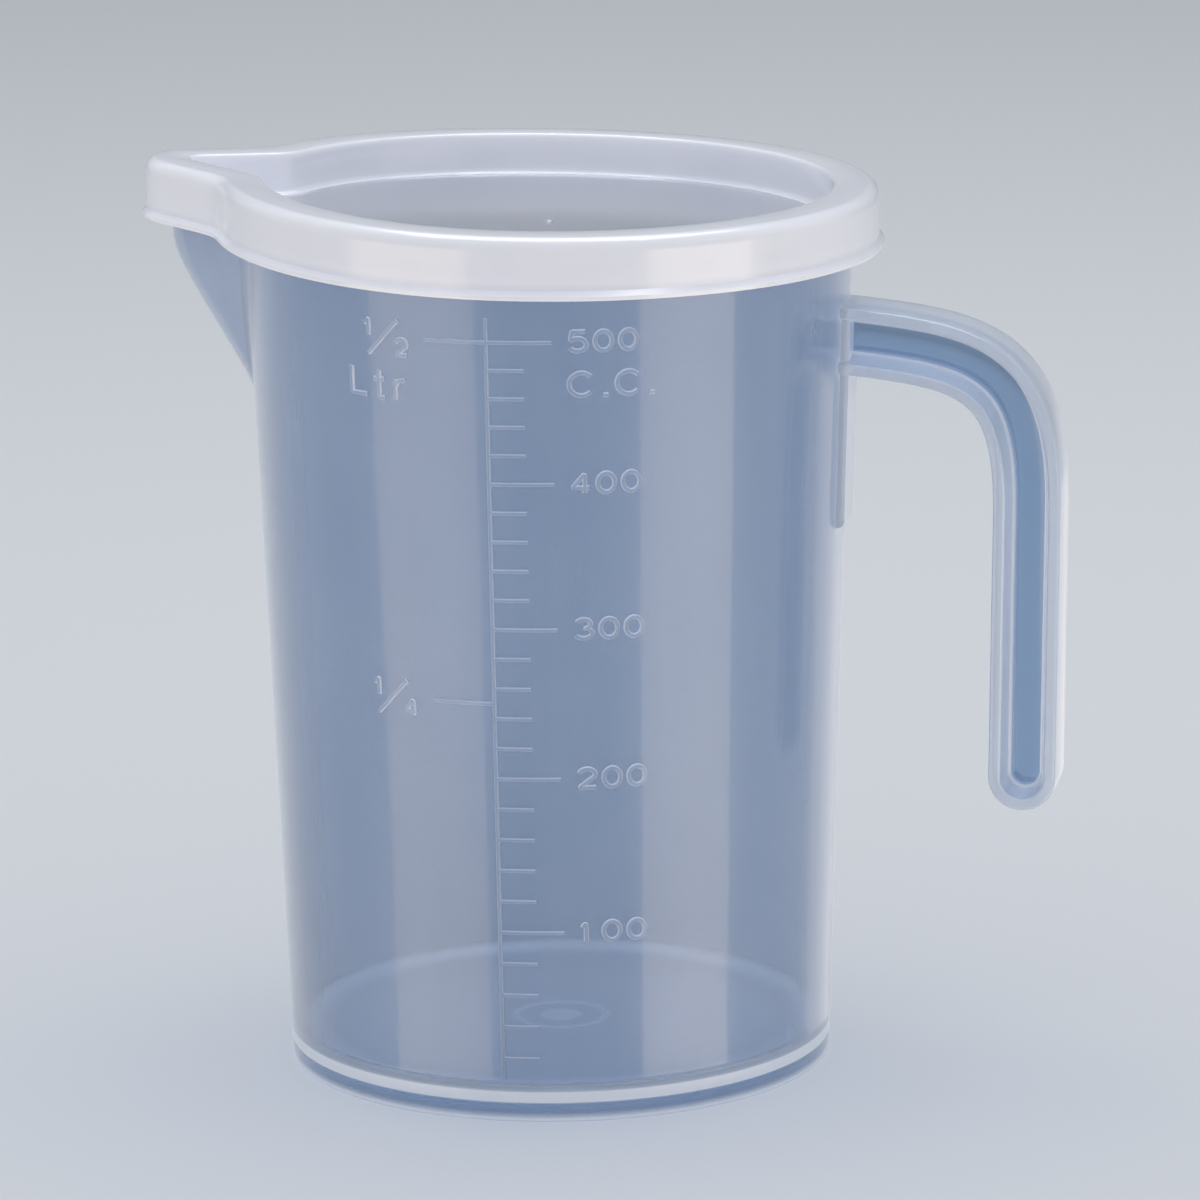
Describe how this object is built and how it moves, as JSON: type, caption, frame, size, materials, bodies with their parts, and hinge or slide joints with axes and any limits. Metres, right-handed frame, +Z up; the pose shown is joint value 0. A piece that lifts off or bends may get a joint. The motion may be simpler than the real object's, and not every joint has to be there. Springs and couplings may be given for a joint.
{
  "type": "lidded measuring jug",
  "caption": "Straight-sided translucent plastic measuring jug with a pouring spout, an open-ended handle, a raised scale and a press-on lid whose beak covers the spout.",
  "frame": {"origin": "on the table, under the middle of the whole part's bounding box", "axes": "+Z up, along the axis of the cup; -X towards the pouring spout and +X towards the handle; the part is a mirror image of itself across the XZ plane; the axis of the cup stands 7.15 mm on the spout's side of the origin"},
  "size_m": [0.1306, 0.0934, 0.1279],
  "materials": {
    "translucent_polypropylene": "injection-moulded natural polypropylene, glossy outside, see-through with a faint milky haze",
    "milky_polyethylene": "injection-moulded natural low-density polyethylene, milky white, satin"
  },
  "bodies": {
    "jug": {"jug_with_handle": "translucent_polypropylene"},
    "lid": {"press_on_lid": "milky_polyethylene"}
  },
  "joints": [
    {"name": "lid_lift", "type": "slide", "parent": "jug", "child": "lid", "axis": [0, 0, 1], "range_m": [0, 0.07]}
  ]
}
